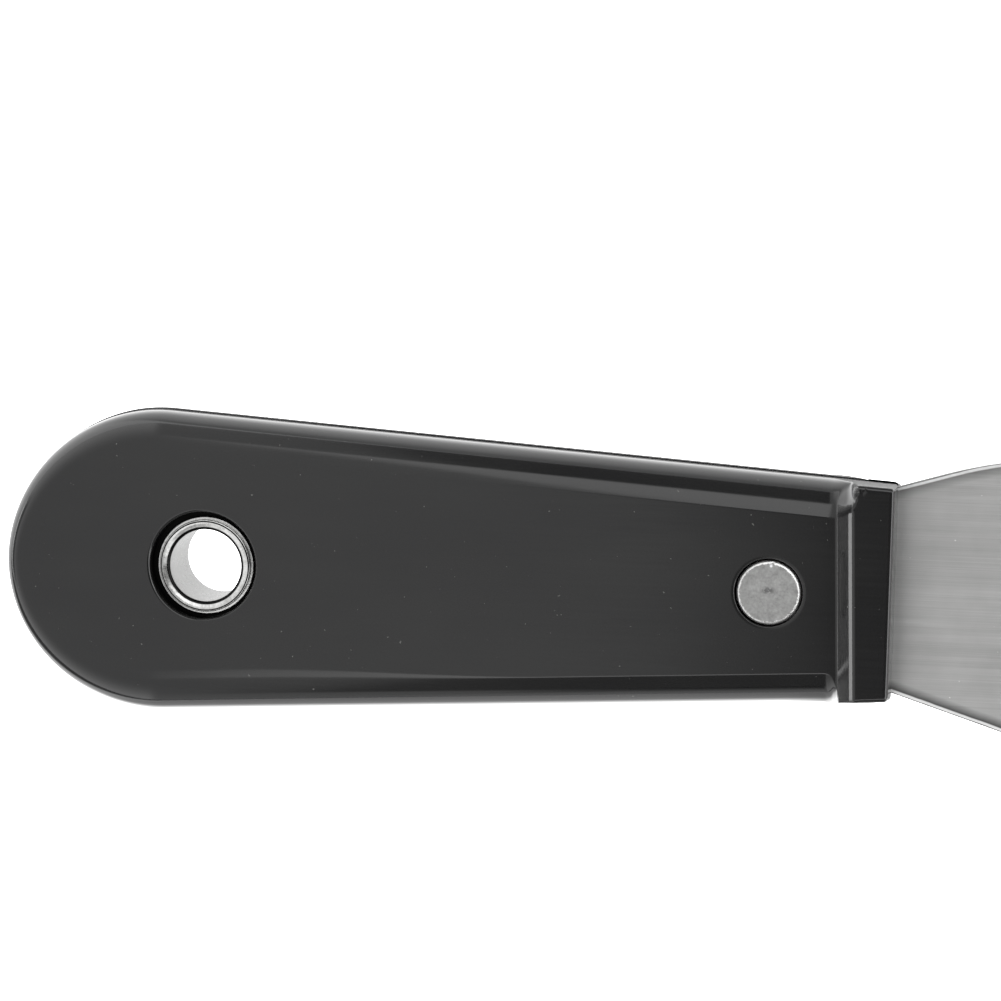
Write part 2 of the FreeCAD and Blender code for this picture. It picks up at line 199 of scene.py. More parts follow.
def finish_piece(name, bm, material, sharp_degrees=35.0):
    """Turns a bmesh in millimetres into a smooth-shaded piece of the knife."""
    bmesh.ops.remove_doubles(bm, verts=bm.verts, dist=0.0005)
    bmesh.ops.recalc_face_normals(bm, faces=bm.faces)
    bmesh.ops.scale(bm, vec=(MM, MM, MM), verts=bm.verts)
    for edge in bm.edges:
        if len(edge.link_faces) == 2:
            edge.smooth = edge.calc_face_angle(0.0) < math.radians(sharp_degrees)
    for face in bm.faces:
        face.smooth = True
    mesh = bpy.data.meshes.new(name)
    bm.to_mesh(mesh)
    bm.free()
    mesh.materials.append(material)
    piece = bpy.data.objects.new(name, mesh)
    bpy.context.scene.collection.objects.link(piece)
    weighted = piece.modifiers.new("flat_faces_first", "WEIGHTED_NORMAL")
    weighted.keep_sharp = True
    weighted.weight = 100
    return piece


def add_loop(bm, points):
    return [bm.verts.new(p) for p in points]


def bridge(bm, first, second, closed):
    """Quads between two rows of vertices; shared or equal corners are welded later."""
    count = len(first)
    for i in range(count if closed else count - 1):
        j = (i + 1) % count
        bm.faces.new((first[i], first[j], second[j], second[i]))


def fill_flat(bm, loops):
    """Fills a flat region bounded by the first loop, with the other loops as holes."""
    edges = []
    for loop in loops:
        verts = add_loop(bm, loop)
        for i, vert in enumerate(verts):
            edges.append(bm.edges.new((vert, verts[(i + 1) % len(verts)])))
    bmesh.ops.triangle_fill(bm, use_beauty=True, use_dissolve=False, edges=edges)


def circle(radius, z, centre=Vector(), count=128):
    points = []
    for i in range(count):
        angle = 2 * math.pi * i / count
        points.append(centre + Vector((radius * math.cos(angle), radius * math.sin(angle), z)))
    return points


def lathe(bm, profile, centre=Vector(), count=128, closed=False):
    """Surface of revolution about Z from (radius, z) points."""
    rings = [add_loop(bm, circle(r, z, centre, count)) for r, z in profile]
    for first, second in zip(rings, rings[1:]):
        bridge(bm, first, second, True)
    if closed:
        bridge(bm, rings[-1], rings[0], True)
    return rings


def arc_points(centre_r, centre_z, radius, start, end, steps):
    """(radius, z) points on an arc; angles in degrees, 0 outward and 90 upward."""
    points = []
    for i in range(steps + 1):
        angle = math.radians(start + (end - start) * i / steps)
        points.append((centre_r + radius * math.cos(angle), centre_z + radius * math.sin(angle)))
    return points


# ---------------------------------------------------------------------------
# Handle halves
# ---------------------------------------------------------------------------

def smooth_step(low, high, value):
    share = min(1.0, max(0.0, (value - low) / (high - low)))
    return share * share * (3 - 2 * share)


def shoulder_points(radius, break_radius):
    """(distance in from the outline, height) from the land over the shoulder to the flat."""
    land_z = FLAT_Z - radius * math.cos(SHOULDER_END) - break_radius * (1 - math.cos(SHOULDER_END))
    points = []
    for i in range(SHOULDER_STEPS + 1):
        slope = math.radians(90) + (SHOULDER_END - math.radians(90)) * i / SHOULDER_STEPS
        points.append((radius * (1 - math.sin(slope)), land_z + radius * math.cos(slope)))
    inner, height = points[-1]
    for i in range(1, BREAK_STEPS + 1):
        slope = SHOULDER_END * (1 - i / BREAK_STEPS)
        reach = break_radius * (math.sin(SHOULDER_END) - math.sin(slope))
        rise = break_radius * (math.cos(slope) - math.cos(SHOULDER_END))
        points.append((inner + reach, height + rise))
    points.append((points[-1][0] + FLAT_MARGIN, FLAT_Z))
    return points


def section(radius, break_radius):
    """Half section of a handle half: (distance in from the outline, height) from foot to flat."""
    return [(BEVEL, 0.0), (0.0, BEVEL)] + shoulder_points(radius, break_radius)


def side_start():
    """Where the straight upper side touches the round butt."""
    return (BUTT_CENTRE_X + BUTT_RADIUS * math.sin(SIDE_TAPER), BUTT_RADIUS * math.cos(SIDE_TAPER))


def side_station(x, side):
    """Point on a straight side and the direction into the handle."""
    start_x, start_y = side_start()
    y = start_y - (x - start_x) * math.tan(SIDE_TAPER)
    return Vector((x, side * y, 0)), Vector((0, -side, 0)) / math.cos(SIDE_TAPER)


def butt_station(angle):
    """The same on the butt, at an angle from +X."""
    out = Vector((math.cos(angle), math.sin(angle), 0))
    return Vector((BUTT_CENTRE_X, 0, 0)) + out * BUTT_RADIUS, -out


def break_radius_at(x):
    return SOFT_BREAK + (SHARP_BREAK - SOFT_BREAK) * smooth_step(4.0, 40.0, x)


def butt_radius_at(angle):
    """The shoulder gets tighter towards the very end of the butt."""
    across = abs(math.sin(angle))
    return BUTT_END_RADIUS + (SHOULDER_RADIUS - BUTT_END_RADIUS) * across ** 1.5


def place(station, inward, profile):
    return [station + inward * d + Vector((0, 0, z)) for d, z in profile]


def wall_rise(past):
    """Rise of the guard's slope at a distance past its foot line."""
    tangent = GUARD_FOOT_RADIUS * math.tan(GUARD_SLOPE / 2)
    into = past + tangent
    if into <= 0:
        return 0.0
    if into < GUARD_FOOT_RADIUS * math.sin(GUARD_SLOPE):
        return GUARD_FOOT_RADIUS - math.sqrt(GUARD_FOOT_RADIUS ** 2 - into ** 2)
    rise = past * math.tan(GUARD_SLOPE)
    over = max(0.0, rise - GUARD_FACET_RISE)
    return rise - over + over * math.tan(GUARD_FACET) / math.tan(GUARD_SLOPE)


def soft_min(height, limit, width):
    """The lower of two heights, rounded over where they meet."""
    near = max(0.0, 1 - abs(height - limit) / width)
    return min(height, limit) - width * near * near / 4


def shoulder_height(reach):
    """Height of the shoulder beside the guard, at a distance in from the outline."""
    inner = SHOULDER_RADIUS * (1 - math.sin(SHOULDER_END))
    break_z = FLAT_Z - SHARP_BREAK * (1 - math.cos(SHOULDER_END))
    if reach <= inner:
        land_z = break_z - SHOULDER_RADIUS * math.cos(SHOULDER_END)
        return land_z + math.sqrt(SHOULDER_RADIUS ** 2 - (SHOULDER_RADIUS - reach) ** 2)
    left = max(0.0, math.sin(SHOULDER_END) - (reach - inner) / SHARP_BREAK)
    return FLAT_Z - SHARP_BREAK * (1 - math.sqrt(1 - left * left))


def runout(x, length):
    share = min(1.0, max(0.0, (x - RUNOUT_START_X) / length))
    return RUNOUT_DEPTH * (1 - math.sqrt(1 - share * share))


def drop(radius, distance):
    """Fall of a rounded edge at a distance in from it."""
    short = max(0.0, radius - distance)
    return radius - math.sqrt(radius ** 2 - short ** 2)


def past_foot(x, reach, corner_radius):
    if corner_radius == 0:
        return x - GUARD_FOOT_X
    corner_x = GUARD_FOOT_X + corner_radius
    corner_in = FOOT_CORNER_IN + corner_radius
    if reach >= corner_in:
        past = x - GUARD_FOOT_X
    elif x >= corner_x:
        past = reach - FOOT_CORNER_IN
    else:
        past = corner_radius - math.hypot(x - corner_x, reach - corner_in)
    near_side = max(0.0, 1 - reach / (corner_in + 0.5))
    return past + 1.5 * near_side * max(0.0, x - GUARD_FOOT_X - corner_radius / 2) ** 2


def guard_share(x):
    return smooth_step(RUNOUT_START_X, LEAN_END_X[0], x)


def guard_height(x, reach, runout_length, corner_radius):
    """Height of the handle's end at x, a distance in from the nearer side."""
    height = shoulder_height(reach + runout(x, runout_length))
    height += wall_rise(past_foot(x, reach, corner_radius))
    height = soft_min(height, GUARD_Z, GUARD_TOP_ROUND)
    height -= drop(GUARD_EDGE_RADIUS, HANDLE_END_X - x)
    return height - drop(GUARD_SIDE_RADIUS * guard_share(x), reach)


def guard_rows():
    """The x of each full row, from the grip through the guard to the handle's end."""
    rows = [70.0 + 0.13 * i for i in range(65)]
    rows += [GUARD_FOOT_X - 0.2 + 0.05 * i for i in range(12)]
    rows += [GUARD_FOOT_X + 1.3 + 0.05 * i for i in range(20)]
    rows += [SLOT_START_X - 0.001, SLOT_START_X + 0.001]
    for i in range(9):
        rows.append(HANDLE_END_X - GUARD_EDGE_RADIUS * (1 - math.sin(math.radians(90) * i / 8)))
    rows.sort()
    return rows[:1] + [x for before, x in zip(rows, rows[1:]) if x - before > 0.0005]


def grip_strip(bm, first_x):
    """The shoulder from one side's row at first_x round the butt to the other's."""
    start_x, _ = side_start()
    stations = []
    for i in range(SIDE_STEPS + 1):
        x = first_x + (start_x - first_x) * i / SIDE_STEPS
        stations.append((side_station(x, 1), SHOULDER_RADIUS, break_radius_at(x)))
    half_turn = math.radians(90) + SIDE_TAPER
    for i in range(1, BUTT_STEPS):
        angle = math.pi - half_turn + 2 * half_turn * i / BUTT_STEPS
        stations.append((butt_station(angle), butt_radius_at(angle), SOFT_BREAK))
    for i in range(SIDE_STEPS + 1):
        x = start_x + (first_x - start_x) * i / SIDE_STEPS
        stations.append((side_station(x, -1), SHOULDER_RADIUS, break_radius_at(x)))
    rows = []
    for (point, inward), radius, break_radius in stations:
        rows.append(add_loop(bm, place(point, inward, section(radius, break_radius))))
    for first, second in zip(rows, rows[1:]):
        bridge(bm, first, second, False)
    return rows


def skewed(point):
    """Point of the guard's slope, moved along the handle for its skew."""
    window = smooth_step(70.3, 72.0, point.x) * (1 - smooth_step(76.3, 78.3, point.x))
    window *= smooth_step(LAND_Z, 4.0, point.z)
    shift = window * (GUARD_FOOT_SHIFT + GUARD_FOOT_SKEW * point.y)
    return point + Vector((shift, 0, 0))


def full_row(bm, x, leans):
    """A whole section at one x, from the upper foot over to the lower foot."""
    slot = x > SLOT_START_X
    edge = GUARD_SIDE_RADIUS * guard_share(x)
    quarters = [math.radians(90) * i / ROUNDING_STEPS for i in range(ROUNDING_STEPS)]
    rounding = [edge * (1 - math.cos(angle)) for angle in quarters]
    inset = drop(GUARD_CORNER_RADIUS, HANDLE_END_X - x)
    sides = []
    per_side = zip((1, -1), leans, LEAN_END_X, RUNOUT_LENGTHS, FOOT_CORNER_RADII)
    for side, lean, lean_end, length, corner in per_side:
        shift = runout(x, length)
        shoulder = shoulder_points(SHOULDER_RADIUS, SHARP_BREAK)
        reaches = sorted(rounding + [max(0.0, reach - shift) for reach, _ in shoulder])
        reaches += [reaches[-1] + 0.2 * i for i in range(1, 25)]
        foot = [(0.0, SLOT_Z), (0.0, SLOT_Z)] if slot else [(BEVEL, 0.0), (0.0, BEVEL)]
        profile = foot + [(reach, guard_height(x, reach, length, corner)) for reach in reaches]
        placed = []
        for reach, z in profile:
            leaning = lean * smooth_step(RUNOUT_START_X, lean_end, x)
            leaning *= max(0.0, z - LAND_Z) / (GUARD_Z - LAND_Z)
            placed.append((reach + inset + leaning * max(0.0, 1 - reach / 4), z))
        sides.append(place(*side_station(x, side), placed))
    upper, lower = sides
    columns = 6
    middle = [upper[-1].lerp(lower[-1], i / columns) for i in range(1, columns)]
    return add_loop(bm, [skewed(point) for point in upper + middle + lower[::-1]])


def tang_loop():
    """Edge of the tang's pocket, from the slot round the tang's end and back."""
    points = [Vector((SLOT_START_X, TANG_HALF_WIDTH, 0))]
    steps = 32
    for i in range(steps + 1):
        angle = math.radians(90) + math.pi * i / steps
        points.append(Vector((
            TANG_ROUND_X + TANG_HALF_WIDTH * math.cos(angle),
            TANG_HALF_WIDTH * math.sin(angle),
            0,
        )))
    points.append(Vector((SLOT_START_X, -TANG_HALF_WIDTH, 0)))
    return points


def lifted(points, z):
    return [Vector((p.x, p.y, z)) for p in points]


def seat(bm, centre, radius, lip, floor_z, hole_radius, z_end):
    """Wall and floor of a round seat, and the hole on through the half."""
    rim = [(radius + lip + FLAT_MARGIN, FLAT_Z)]
    rim += arc_points(radius + lip, FLAT_Z - lip, lip, 90, 180, 8)
    profile = rim + [(radius, floor_z), (hole_radius, floor_z), (hole_radius, z_end)]
    rings = lathe(bm, profile, centre)
    return [v.co.copy() for v in rings[0]], [v.co.copy() for v in rings[-1]]


def handle_half(name, lower):
    bm = bmesh.new()
    rows_at = guard_rows()
    strip = grip_strip(bm, rows_at[0])
    full = [full_row(bm, x, GUARD_LEAN[lower]) for x in rows_at]
    for first, second in zip(full, full[1:]):
        bridge(bm, first, second, False)
    eyelet_rim, eyelet_hole = seat(
        bm, SEAT_CENTRE, SEAT_RADIUS, SEAT_LIP, SEAT_FLOOR_Z, HOLE_RADIUS, SLOT_Z)
    rivet_rim, rivet_hole = seat(
        bm, Vector((RIVET_X, 0, 0)) + RIVET_SEAT_OFFSET, RIVET_SEAT_RADIUS, RIVET_SEAT_LIP,
        RIVET_SEAT_FLOOR_Z, RIVET_HOLE_RADIUS, SLOT_Z)
    inner = [row[-1].co.copy() for row in strip]
    crossing = [v.co.copy() for v in full[0]]
    depth = len(strip[0]) + ROUNDING_STEPS
    across = crossing[depth:len(crossing) - depth]
    fill_flat(bm, [inner + across[::-1], eyelet_rim, rivet_rim])
    # End face: from the last row's outline down to the slot.
    bm.faces.new(full[-1])
    # Parting face at z = 0, round the tang's pocket and back from the slot.
    slot_row = [i for i, x in enumerate(rows_at) if x < SLOT_START_X][-1]
    upper_foot = [full[i][0].co.copy() for i in range(slot_row, 0, -1)]
    lower_foot = [full[i][-1].co.copy() for i in range(1, slot_row + 1)]
    foot = upper_foot + [row[0].co.copy() for row in strip] + lower_foot
    pocket = tang_loop()
    fill_flat(bm, [foot + pocket[::-1]])
    roof = lifted(pocket, SLOT_Z)
    bridge(bm, add_loop(bm, pocket), add_loop(bm, roof), False)
    after = slot_row + 1
    slot_upper = [full[i][0].co.copy() for i in range(len(full) - 1, after - 1, -1)]
    slot_lower = [full[i][-1].co.copy() for i in range(after, len(full))]
    fill_flat(bm, [slot_upper + roof + slot_lower, eyelet_hole, rivet_hole])
    for side, foot_end in ((0, upper_foot[0]), (-1, lower_foot[-1])):
        low_vert = full[slot_row][side].co.copy()
        high_vert = full[after][side].co.copy()
        near = pocket[side].copy()
        bm.faces.new(add_loop(bm, [low_vert, near, lifted([near], SLOT_Z)[0], high_vert]))
    if lower:
        bmesh.ops.scale(bm, vec=(1, 1, -1), verts=bm.verts)
        bmesh.ops.reverse_faces(bm, faces=bm.faces)
    else:
        bmesh.ops.translate(bm, vec=HALF_SHIFT, verts=bm.verts)
    return finish_piece(name, bm, plastic)


# ---------------------------------------------------------------------------
# Eyelet, washers and rivet
# ---------------------------------------------------------------------------

def eyelet_piece(material):
    """Tube with a rolled flange at each end."""
    bore = BORE_RADIUS
    crown_z = eyelet_high.z
    rim_radius = eyelet_high.x
    groove = rim_radius - GROOVE_IN
    under_z = crown_z - 0.55
    roll = 0.42
    upper = [(bore, 0.0), (bore, 1.5), (bore, 3.0)]
    upper += arc_points(bore + roll, crown_z - 0.16 - roll, roll, 180, 96, 12)
    upper += [(4.75, crown_z - 0.06), (4.95, crown_z - 0.01), (groove - 0.05, crown_z)]
    upper += [(groove, crown_z - 0.06), (groove + 0.05, crown_z - 0.02)]
    upper += arc_points(rim_radius - 0.16, crown_z - 0.18, 0.16, 90, 0, 8)
    upper += [(rim_radius, under_z + 0.08), (rim_radius - 0.08, under_z), (4.72, under_z)]
    upper += [(EYELET_TUBE_RADIUS, under_z - 0.25), (EYELET_TUBE_RADIUS, 0.0)]
    lower = [(r, -z) for r, z in upper[::-1]]
    profile = upper[1:] + lower[1:-1]
    bm = bmesh.new()
    lathe(bm, profile, count=RING_COUNT, closed=True)
    bmesh.ops.remove_doubles(bm, verts=bm.verts, dist=0.0005)
    for vert in bm.verts:
        # The setting tool leaves the flange a little uneven.
        out = math.hypot(vert.co.x, vert.co.y)
        if out > bore + 0.15 and abs(vert.co.z) > under_z - 0.1:
            ripple = noise.noise(vert.co * 1.7) * 0.02
            vert.co.z -= math.copysign(abs(ripple) + 0.002, vert.co.z)
    return finish_piece("eyelet", bm, material)


def washer_piece(name, side, material):
    inner, outer = WASHER_BORE_RADIUS, washer_high.x
    low, high = washer_low.z, washer_high.z
    profile = [(inner, low), (inner, high - 0.05), (inner + 0.05, high)]
    profile += arc_points(outer - 0.12, high - 0.12, 0.12, 90, 0, 5)
    profile += [(outer, low + 0.05), (outer - 0.05, low)]
    bm = bmesh.new()
    lathe(bm, [(r, side * z) for r, z in profile], count=RING_COUNT, closed=True)
    return finish_piece(name, bm, material)


def dimple(point, middle, size):
    """Depth, from 0 to 1, of an oval dent at a point."""
    across = (point.x - middle[0]) / size[0]
    along = (point.y - middle[1]) / size[1]
    return math.exp(-across ** 2 - along ** 2)


def rivet_head(bm, side):
    """Pressed head: flat with a rounded chamfer, a scuffed middle and small nicks."""
    radius, top = RIVET_HEAD_RADIUS, head_high.z
    floor_z = RIVET_SEAT_FLOOR_Z
    profile = [(RIVET_SLEEVE_RADIUS, floor_z), (radius - 0.1, floor_z), (radius, floor_z + 0.1)]
    profile += [(radius, top - 0.48)]
    profile += arc_points(radius - 0.5, top - 0.52, 0.5, 8, 78, 8)
    rings = 26
    inner = radius - 0.42
    profile += [(inner * (1 - i / rings) + 0.02, top - 0.02) for i in range(rings + 1)]
    middle = Vector((RIVET_X, 0, 0)) + RIVET_HEAD_OFFSET
    circles = lathe(bm, [(r, side * z) for r, z in profile], middle, HEAD_RING_COUNT)
    bm.faces.new(circles[-1])
    for vert in circles[0]:
        vert.co -= RIVET_HEAD_OFFSET        # the stem stays on the hole's axis
    for ring in circles[4:]:
        for vert in ring:
            place_in = vert.co - middle
            place_in.z = 0
            out = place_in.length
            low = abs(noise.noise(place_in * 0.9)) * 0.012
            low += abs(noise.noise(place_in * 4.0)) * 0.006
            scuff = dimple(place_in, (-0.1, 0.1), (0.55, 0.3))
            low += scuff * (0.03 + 0.05 * abs(noise.noise(place_in * 6.0)))
            low += dimple(place_in, (0.35, 3.45), (0.16, 0.12)) * 0.12
            vert.co.z -= side * low * smooth_step(radius + 0.01, radius - 0.2, out)
    return circles


def rivet_piece(name, side, stem, material):
    """One half of the rivet: a head, and a stem from (radius, z) points."""
    bm = bmesh.new()
    rivet_head(bm, side)
    rings = lathe(bm, stem, Vector((RIVET_X, 0, 0)), HEAD_RING_COUNT)
    bm.faces.new(rings[-1])
    return finish_piece(name, bm, material)


def rivet_pieces(material):
    outer, pin, pin_top = RIVET_SLEEVE_RADIUS, RIVET_PIN_RADIUS, RIVET_PIN_TOP_Z
    sleeve_low = head_low.z
    bore = pin + 0.02
    sleeve_stem = [(outer, RIVET_SEAT_FLOOR_Z), (outer, sleeve_low + 0.1)]
    sleeve_stem += [(outer - 0.1, sleeve_low), (bore, sleeve_low), (bore, pin_top + 0.4)]
    pin_stem = [(outer, -RIVET_SEAT_FLOOR_Z), (pin, -RIVET_SEAT_FLOOR_Z)]
    pin_stem += [(pin, pin_top - 0.1), (pin - 0.1, pin_top)]
    return (rivet_piece("rivet_sleeve_piece", 1, sleeve_stem, material),
            rivet_piece("rivet_pin_piece", -1, pin_stem, material))


# ---------------------------------------------------------------------------
# Materials
# ---------------------------------------------------------------------------

class Nodes:
    """Short way of adding and joining shader nodes."""

    def __init__(self, name):
        self.material = bpy.data.materials.new(name)
        self.material.use_nodes = True
        self.tree = self.material.node_tree
        self.tree.nodes.clear()
        self.output = self.tree.nodes.new("ShaderNodeOutputMaterial")
        self.shader = self.tree.nodes.new("ShaderNodeBsdfPrincipled")
        self.join(self.shader.outputs["BSDF"], self.output.inputs["Surface"])

    def join(self, source, target):
        self.tree.links.new(source, target)

    def set(self, **values):
        for name, value in values.items():
            self.shader.inputs[name.replace("_", " ")].default_value = value

    def place(self, stretch=(1, 1, 1)):
        """Object coordinates in millimetres, stretched."""
        coordinates = self.tree.nodes.new("ShaderNodeTexCoord")
        mapping = self.tree.nodes.new("ShaderNodeMapping")
        mapping.inputs["Scale"].default_value = [s / MM for s in stretch]
        self.join(coordinates.outputs["Object"], mapping.inputs["Vector"])
        return mapping.outputs["Vector"]

    def axes(self, vector):
        split = self.tree.nodes.new("ShaderNodeSeparateXYZ")
        self.join(vector, split.inputs["Vector"])
        return [split.outputs[axis] for axis in "XYZ"]

    def noise(self, vector, scale, detail=4.0, roughness=0.55):
        node = self.tree.nodes.new("ShaderNodeTexNoise")
        node.inputs["Scale"].default_value = scale
        node.inputs["Detail"].default_value = detail
        node.inputs["Roughness"].default_value = roughness
        self.join(vector, node.inputs["Vector"])
        return node.outputs["Fac"]

    def remap(self, value, low, high, new_low, new_high):
        node = self.tree.nodes.new("ShaderNodeMapRange")
        node.inputs["From Min"].default_value = low
        node.inputs["From Max"].default_value = high
        node.inputs["To Min"].default_value = new_low
        node.inputs["To Max"].default_value = new_high
        self.join(value, node.inputs["Value"])
        return node.outputs["Result"]

    def band(self, value, rising, falling, level=1.0):
        """Up from 0 over the first span, and down to 0 again from level over the second."""
        up = self.remap(value, *rising, 0.0, 1.0)
        return self.math("MULTIPLY", up, self.remap(value, *falling, level, 0.0))

    def math(self, kind, first, second=0.0):
        node = self.tree.nodes.new("ShaderNodeMath")
        node.operation = kind
        for socket, value in zip(node.inputs, (first, second)):
            if isinstance(value, (int, float)):
                socket.default_value = value
            else:
                self.join(value, socket)
        return node.outputs[0]

    def blend(self, first, *others):
        """Sum of (value, weight) pairs."""
        total = self.math("MULTIPLY", *first)
        for pair in others:
            total = self.math("ADD", total, self.math("MULTIPLY", *pair))
        return total

    def length(self, first, second):
        squares = [self.math("MULTIPLY", value, value) for value in (first, second)]
        return self.math("SQRT", self.math("ADD", *squares))

    def choose(self, share, first, second):
        """The first value where share is 1, the second where it is 0."""
        rest = self.math("MULTIPLY", second, self.math("SUBTRACT", 1.0, share))
        return self.math("ADD", self.math("MULTIPLY", first, share), rest)

    def mix_colour(self, share, first, second):
        node = self.tree.nodes.new("ShaderNodeMix")
        node.data_type = "RGBA"
        self.join(share, node.inputs["Factor"])
        colour_a, colour_b = node.inputs[6], node.inputs[7]
        for socket, value in zip((colour_a, colour_b), (first, second)):
            if isinstance(value, tuple):
                socket.default_value = (*value, 1)
            else:
                self.join(value, socket)
        return node.outputs[2]

    def bump(self, height, distance_mm, strength=1.0, onto=None):
        node = self.tree.nodes.new("ShaderNodeBump")
        node.inputs["Distance"].default_value = distance_mm * MM
        node.inputs["Strength"].default_value = strength
        self.join(height, node.inputs["Height"])
        if onto is not None:
            self.join(onto, node.inputs["Normal"])
        self.join(node.outputs["Normal"], self.shader.inputs["Normal"])
        return node.outputs["Normal"]


def make_plastic():
    """Glossy moulded black plastic with faint flow marks, fine scratches and dust, and painted
    shade in the seats.
    """
    nodes = Nodes("handle_plastic")
    nodes.set(IOR=1.5)
    place_in = nodes.place()
    flow = nodes.noise(nodes.place((0.035, 0.11, 0.11)), 1.0, 3.0)
    grain = nodes.noise(place_in, 6.0, 2.0)
    colour = nodes.mix_colour(nodes.remap(flow, 0.35, 0.65, 0, 1), (0.0078, 0.0078, 0.0082),
                              (0.0108, 0.0108, 0.0108))
    speck = nodes.remap(nodes.noise(place_in, 2.3, 1.0, 0.3), 0.80, 0.84, 0, 1)
    colour = nodes.mix_colour(speck, colour, (0.10, 0.10, 0.095))
    x, y, z = nodes.axes(place_in)
    seat_x = nodes.math("SUBTRACT", x, SEAT_CENTRE.x)
    eyelet_out = nodes.length(seat_x, nodes.math("SUBTRACT", y, SEAT_CENTRE.y))
    rivet_x = nodes.math("SUBTRACT", x, RIVET_X + RIVET_SEAT_OFFSET.x)
    rivet_out = nodes.length(rivet_x, nodes.math("SUBTRACT", y, RIVET_SEAT_OFFSET.y))
    # Painted shade in the seats: their walls and floors get a near-black colour, are made mostly
    # metallic so they reflect little, and are made rougher.
    in_seat = nodes.math("ADD", nodes.math("LESS_THAN", eyelet_out, SEAT_RADIUS + 0.12),
                         nodes.math("LESS_THAN", rivet_out, RIVET_SEAT_RADIUS + 0.05))
    deep = nodes.remap(nodes.math("ABSOLUTE", z), FLAT_Z - 0.3, FLAT_Z - 0.15, 1.0, 0.0)
    painted_shade = nodes.math("MULTIPLY", in_seat, deep)
    colour = nodes.mix_colour(painted_shade, colour, (0.004, 0.004, 0.004))
    nodes.join(colour, nodes.shader.inputs["Base Color"])
    nodes.join(nodes.math("MULTIPLY", painted_shade, 0.9), nodes.shader.inputs["Metallic"])
    scratch = nodes.noise(nodes.place((0.12, 5.0, 5.0)), 1.0, 2.0)
    rough = nodes.math("ADD", nodes.remap(scratch, 0.3, 0.75, 0.085, 0.125),
                       nodes.math("MULTIPLY", painted_shade, 0.45))
    nodes.join(rough, nodes.shader.inputs["Roughness"])
    wave = nodes.bump(flow, 0.010)
    nodes.bump(grain, 0.0006, onto=wave)
    return nodes.material


def blade_edge_distance(nodes, x, y, heel_y, straight_y):
    """Distance in from one long side of the blade; y is positive towards that side."""
    arc_run = HEEL_ARC_RADIUS * math.sin(HEEL_FLARE)
    flare_rise = straight_y - heel_y - HEEL_ARC_RADIUS * (1 - math.cos(HEEL_FLARE))
    arc_x = HANDLE_END_X + flare_rise / math.tan(HEEL_FLARE)
    straight_x = arc_x + arc_run
    along = nodes.math("MULTIPLY", nodes.math("SUBTRACT", x, HANDLE_END_X), math.sin(HEEL_FLARE))
    across = nodes.math("MULTIPLY", nodes.math("SUBTRACT", heel_y, y), math.cos(HEEL_FLARE))
    from_flare = nodes.math("ADD", along, across)
    centre_y = straight_y - HEEL_ARC_RADIUS
    out = nodes.length(nodes.math("SUBTRACT", x, straight_x), nodes.math("SUBTRACT", y, centre_y))
    from_arc = nodes.math("SUBTRACT", HEEL_ARC_RADIUS, out)
    from_straight = nodes.math("SUBTRACT", straight_y, y)
    on_flare = nodes.math("LESS_THAN", x, arc_x)
    on_straight = nodes.math("GREATER_THAN", x, straight_x)
    on_arc = nodes.math("SUBTRACT", nodes.math("SUBTRACT", 1.0, on_flare), on_straight)
    distance = nodes.math("MULTIPLY", from_flare, on_flare)
    distance = nodes.math("ADD", distance, nodes.math("MULTIPLY", from_arc, on_arc))
    return nodes.math("ADD", distance, nodes.math("MULTIPLY", from_straight, on_straight))


def make_brushed_steel(name):
    """Ground blade steel, brushed along the blade, with painted shade and a painted highlight
    along its long sides.
    """
    nodes = Nodes(name)
    nodes.set(Metallic=1.0)
    brush = nodes.noise(nodes.place((0.05, 9.0, 9.0)), 1.0, 4.0, 0.6)
    long_streak = nodes.noise(nodes.place((0.02, 1.1, 1.1)), 1.0, 3.0)
    cloud = nodes.noise(nodes.place(), 0.16, 3.0)
    tone = nodes.blend((brush, 0.45), (cloud, 0.3), (long_streak, 0.25))
    colour = nodes.mix_colour(nodes.remap(tone, 0.36, 0.64, 0, 1), (0.40, 0.40, 0.395),
                              (0.53, 0.53, 0.525))
    pit = nodes.remap(nodes.noise(nodes.place(), 1.9, 1.0, 0.3), 0.79, 0.82, 0, 1)
    colour = nodes.mix_colour(pit, colour, (0.72, 0.72, 0.71))
    # Both long sides: painted shade on a strip of the face, a painted highlight on the ground edge
    # and painted shade on the rim.
    x, y, _ = nodes.axes(nodes.place())
    straight_sides = (blade_high.y, -blade_low.y)
    for side, heel_y, straight_y, shade in zip((1, -1), HEEL_Y, straight_sides, EDGE_SHADE):
        towards = nodes.math("MULTIPLY", y, side)
        inside = blade_edge_distance(nodes, x, towards, heel_y, straight_y)
        inside = nodes.math("ADD", inside, nodes.remap(cloud, 0.3, 0.7, -0.05, 0.05))
        painted_face_shade = nodes.band(inside, (0.4, 0.5), (0.55, 1.5), shade)
        colour = nodes.mix_colour(painted_face_shade, colour, (0.08, 0.08, 0.08))
        # Painted highlight on the ground edge.
        ground = nodes.band(inside, (0.1, 0.18), (0.36, 0.46))
        colour = nodes.mix_colour(ground, colour, (0.9, 0.9, 0.9))
        # Painted shade on the rim.
        rim = nodes.remap(inside, 0.06, 0.14, 0.75, 0.0)
        colour = nodes.mix_colour(rim, colour, (0.16, 0.16, 0.16))
    nodes.join(colour, nodes.shader.inputs["Base Color"])
    nodes.join(nodes.remap(brush, 0.3, 0.7, 0.34, 0.44), nodes.shader.inputs["Roughness"])
    nodes.set(Anisotropic=0.35)
    nodes.bump(brush, 0.004)
    return nodes.material


